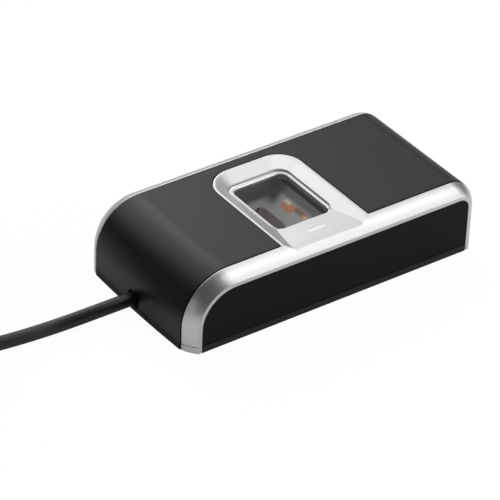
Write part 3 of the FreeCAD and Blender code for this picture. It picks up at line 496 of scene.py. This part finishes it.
mask_width, mask_length, mask_corner = 0.0019, 0.0186, 0.0004
mask_place, mask_tilt = (-0.00115, 0.0009, 0.00999), (0, math.radians(-45), 0)
bpy.ops.mesh.primitive_plane_add(size=1)
mask_film = bpy.context.object
mask_film.name = mask_film.data.name = "prism_mask"
mask_film.dimensions = (mask_width, mask_length, 0)
bpy.ops.object.transform_apply(scale=True)
bpy.ops.object.mode_set(mode="EDIT")
bpy.ops.mesh.select_all(action="SELECT")
bpy.ops.mesh.bevel(affect="VERTICES", offset=mask_corner, segments=4)
bpy.ops.object.mode_set(mode="OBJECT")
set_in_place(mask_film, mask_place, mask_tilt)
# The mask glows a little: painted light, so that it looks lit.
mask_ink_painted_glow = Finish("mask_ink_painted_glow", {"Roughness": 0.5, "Emission Strength": 0.15})
mottle = mask_ink_painted_glow.noise(700, 3)
tone = mask_ink_painted_glow.blend(mottle, (0.30, 0.25, 0.27, 1), (0.20, 0.17, 0.18, 1))
mask_ink_painted_glow.vary({"Base Color": tone, "Emission Color": tone})
mask_film.data.materials.append(mask_ink_painted_glow.material)
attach(mask_film, "root")

# A film inside the prism's far end carries a painted reflection of the plate. It glows a little as
# painted light, and is painted darker towards its top as shade.
end_width, end_height = 0.0190, 0.0095
end_place, end_tilt = (-0.00143, 0.0109, 0.01483), (math.radians(-90), 0, 0)
shade_low, shade_high = 0.0112, 0.0138
bpy.ops.mesh.primitive_circle_add(vertices=3, radius=1, fill_type="NGON")
end_film = bpy.context.object
end_film.name = end_film.data.name = "prism_end_film"
end_film.dimensions = (end_width, end_height, 0)
bpy.ops.object.transform_apply(scale=True)
set_in_place(end_film, end_place, end_tilt)
end_reflection_paint = Finish("prism_end_paint", {"Roughness": 0.5, "Emission Strength": 0.2})
_, _, height = end_reflection_paint.parts()
mottle = end_reflection_paint.noise(500, 3)
tone = end_reflection_paint.blend(mottle, (0.46, 0.42, 0.44, 1), (0.56, 0.52, 0.54, 1))
# painted shade: the film turns dark towards its top
upper = end_reflection_paint.node("ShaderNodeMapRange", {"interpolation_type": "SMOOTHSTEP"},
                       {"Value": height, "From Min": shade_low, "From Max": shade_high,
                        "To Min": 0.0, "To Max": 1.0})
tone = end_reflection_paint.blend(upper, tone, grey(0.06))
end_reflection_paint.vary({"Base Color": tone, "Emission Color": tone})
end_film.data.materials.append(end_reflection_paint.material)
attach(end_film, "root")

# ---- Light and camera --------------------------------------------------------------------------
# Inside the matt black housing: amber diodes on a copper-coloured board, a front-silvered mirror,
# the coated lenses in their barrel, and the image sensor under its cover glass.
inner = Finish("inner_black", {})
grain = inner.noise(2200, 3)
inner.vary({"Base Color": inner.blend(grain, grey(0.006), grey(0.013)),
            "Roughness": 0.6 + grain * 0.2})
inner.bump(grain, 0.00004)
inner.on("optics_housing", "lens_barrel", "lens_holder")

silvering = Finish("mirror_silvering", {"Metallic": 1.0})
haze = silvering.noise(500, 4)
silvering.vary({"Base Color": silvering.blend(haze, grey(0.86), grey(0.78)),
                "Roughness": haze * 0.06})
silvering.on("fold_mirror")

lens_glass = Finish("lens_glass", {"Roughness": 0.03, "Coat Weight": 1.0})
coating = lens_glass.noise(260, 2)
coat_tone = lens_glass.blend(coating, (0.03, 0.05, 0.09, 1), (0.07, 0.03, 0.09, 1))
lens_glass.vary({"Base Color": coat_tone, "Alpha": 0.35 + coating * 0.1})
lens_glass.on("lens_elements")

sensor = Finish("sensor_face", {"Roughness": 0.12, "Coat Weight": 1.0})
cells = sensor.node("ShaderNodeTexChecker", {}, {"Vector": sensor.place, "Scale": 9000.0}, "Fac")
sensor.vary({"Base Color": sensor.blend(cells, (0.03, 0.02, 0.05, 1), (0.02, 0.04, 0.05, 1))})
sensor.on("image_sensor")

amber = Finish("amber_diode", {"Roughness": 0.25})
phosphor = amber.noise(3000, 2)
amber.vary({"Base Color": amber.blend(phosphor, (0.95, 0.55, 0.22, 1), (0.75, 0.36, 0.12, 1))})
amber.bump(phosphor, 0.00001)
amber.on("illumination_leds", "indicator_led")

copper = Finish("copper_board", {})
tracks = copper.node("ShaderNodeTexWave", {"bands_direction": "Y"}, {
    "Vector": copper.place, "Scale": 320.0, "Distortion": 1.5}) > 0.62
copper.vary({"Base Color": copper.blend(tracks, (0.30, 0.13, 0.07, 1), (0.55, 0.28, 0.15, 1)),
             "Metallic": tracks * 0.5, "Roughness": 0.45 - tracks * 0.12})
copper.bump(tracks, 0.00002)
copper.on("light_board")

# ---- Boards and wiring -------------------------------------------------------------------------
# Green glass-epoxy boards with tracks and tinned holes under the lacquer, moulded chips on tinned
# legs, a nickel can, ceramic parts, nylon plugs, coloured wires and an amber film cable.
green = Finish("board_green", {"Roughness": 0.35})
weave = green.noise(1500, 2)
runs_x = green.node("ShaderNodeTexWave", {"bands_direction": "Y"}, {
    "Vector": green.place, "Scale": 260.0, "Distortion": 0.6, "Detail": 0.0}) > 0.7
runs_y = green.node("ShaderNodeTexWave", {"bands_direction": "X"}, {
    "Vector": green.place, "Scale": 230.0, "Distortion": 0.6, "Detail": 0.0}) > 0.7
region = green.noise(130, 0) > 0.5
tracks = runs_x * region + runs_y * (1 - region)
holes = green.node("ShaderNodeTexVoronoi", {}, {"Vector": green.place, "Scale": 420.0,
                                               "Randomness": 0.8}) < 0.12
lacquer = green.blend(weave, (0.012, 0.10, 0.035, 1), (0.02, 0.14, 0.05, 1))
lacquer = green.blend(tracks, lacquer, (0.03, 0.22, 0.08, 1))
green.vary({"Base Color": green.blend(holes, lacquer, grey(0.7)), "Metallic": holes})
green.bump(tracks, 0.00003)
green.on("main_board", "sensor_board", "indicator_board")

chip = Finish("chip_epoxy", {})
grain = chip.noise(2600, 3)
_, _, height = chip.parts()
board_top, leg_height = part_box("main_board")[1][2], 0.00025
legs = height < board_top + leg_height
chip.vary({"Base Color": chip.blend(legs, grey(0.018), grey(0.6)), "Metallic": legs,
           "Roughness": 0.55 + grain * 0.15 - legs * 0.25})
chip.bump(grain, 0.00003)
chip.on("controller_chip", "memory_chip")

can = Finish("nickel_can", {"Metallic": 1.0})
brushed = can.noise(1, 2, can.stretched(400, 7000, 7000))
can.vary({"Base Color": can.blend(brushed, grey(0.55), grey(0.68)),
          "Roughness": 0.22 + brushed * 0.2})
can.bump(brushed, 0.000005)
can.on("crystal")

ceramic = Finish("ceramic_parts", {"Roughness": 0.5})
tint = ceramic.noise(250, 0) > 0.5
ceramic.vary({"Base Color": ceramic.blend(tint, (0.42, 0.29, 0.17, 1), grey(0.03))})
ceramic.bump(ceramic.noise(3000), 0.00001)
ceramic.on("small_parts")

nylon = Finish("nylon_white", {"Roughness": 0.45})
tint = nylon.noise(600, 3)
nylon.vary({"Base Color": nylon.blend(tint, (0.80, 0.78, 0.70, 1), (0.72, 0.69, 0.60, 1))})
nylon.bump(nylon.noise(2500), 0.00002)
nylon.on("board_connector", "wire_plug", "flex_connectors")

insulation = Finish("wire_insulation", {"Roughness": 0.35})
tint = insulation.noise(500, 2)
insulation.vary({"Base Color": insulation.blend(tint, (0.45, 0.03, 0.02, 1), (0.35, 0.02, 0.02, 1))})
insulation.bump(insulation.noise(3000), 0.00002)
insulation.on("internal_wires")

flex_film = Finish("film_cable", {"Roughness": 0.25})
tracks = flex_film.node("ShaderNodeTexWave", {"bands_direction": "Y"}, {
    "Vector": flex_film.place, "Scale": 500.0}) > 0.5
flex_film.vary({"Base Color": flex_film.blend(tracks, (0.30, 0.13, 0.02, 1), (0.55, 0.28, 0.08, 1)),
                "Metallic": tracks * 0.3})
flex_film.bump(tracks, 0.00002)
flex_film.on("flex_cable")

# ---- Screws ------------------------------------------------------------------------------------
# Zinc-plated steel with turning marks and a driver's scuffs. Four screws close the case from
# below, and smaller ones hold the main board and the optics housing.
steel = Finish("screw_steel", {"Metallic": 1.0})
scuffs = steel.noise(2500, 4)
steel.vary({"Base Color": steel.blend(scuffs, grey(0.42), grey(0.60)),
            "Roughness": 0.26 + scuffs * 0.2})
steel.bump(scuffs, 0.00001)
steel.on("case_screws", "board_screws", "optics_screws")

# ---- Studio ------------------------------------------------------------------------------------
# A wide pale floor that keeps the object's shadow, with softboxes at the back, on the right and
# low on the left, in dim surroundings.
floor_size = 12
bpy.ops.mesh.primitive_plane_add(size=floor_size)
floor = bpy.context.object
floor.name = "floor"
floor_finish = Finish("floor_paint", {"Base Color": grey(0.8), "Roughness": 0.9,
                                      "Specular IOR Level": 0.0})
camera_ray = floor_finish.node("ShaderNodeLightPath", {}, {}, "Is Camera Ray")
glossy_ray = floor_finish.node("ShaderNodeLightPath", {}, {}, "Is Glossy Ray")
clear_ray = floor_finish.node("ShaderNodeLightPath", {}, {}, "Is Transmission Ray")
white_level, seen_share, reflected_share = 1.04, 0.93, 0.2
white = floor_finish.node("ShaderNodeEmission", {}, {"Color": grey(1.0), "Strength": white_level})
lit = Value(floor_finish, floor_finish.shader.outputs[0])
shown_white = (camera_ray + clear_ray) * seen_share + glossy_ray * reflected_share
mixed = floor_finish.node("ShaderNodeMixShader", {}, {0: shown_white, 1: lit, 2: white})
output = floor_finish.tree.nodes["Material Output"]
floor_finish.tree.links.new(mixed.socket, output.inputs["Surface"])
floor.data.materials.append(floor_finish.material)

lamp_distance, lamp_target = 1.0, Vector((0, 0, 0.015))
# name, azimuth and elevation in degrees, width and height in metres, brightness
lamps = [("back_high_softbox", 90, 62, 0.5, 0.5, 1.1),
         ("back_right_high_softbox", 40, 60, 0.5, 0.5, 1.5),
         ("back_low_softbox", 95, 32, 0.7, 0.4, 2.1),
         ("back_low_strip", 68, 33, 0.25, 0.4, 3.3),
         ("back_right_low_softbox", 42, 24, 0.6, 0.7, 0.42),
         ("right_softbox", 326, 58, 0.6, 0.5, 2.1),
         ("front_right_softbox", 315, 34, 0.8, 0.4, 0.5),
         ("front_right_low_softbox", 315, 14, 0.9, 0.36, 4.2),
         ("left_softbox", 180, 14, 0.9, 0.36, 0.36)]
for name, azimuth, elevation, width, height, brightness in lamps:
    turn, rise = math.radians(azimuth), math.radians(elevation)
    towards = Vector((math.cos(rise) * math.cos(turn), math.cos(rise) * math.sin(turn),
                      math.sin(rise)))
    bpy.ops.object.light_add(type="AREA", location=lamp_target + towards * lamp_distance)
    lamp = bpy.context.object
    lamp.name = name
    lamp.rotation_euler = towards.to_track_quat("Z", "Y").to_euler()
    lamp.visible_camera = False
    lamp.data.shape = "RECTANGLE"
    lamp.data.size, lamp.data.size_y = width, height
    lamp.data.energy = brightness * math.pi * width * height

world = bpy.data.worlds.new("surroundings")
bpy.context.scene.world = world
world.use_nodes = True
world.node_tree.nodes["Background"].inputs["Color"].default_value = grey(0.04)
bpy.context.scene.view_settings.view_transform = "Standard"
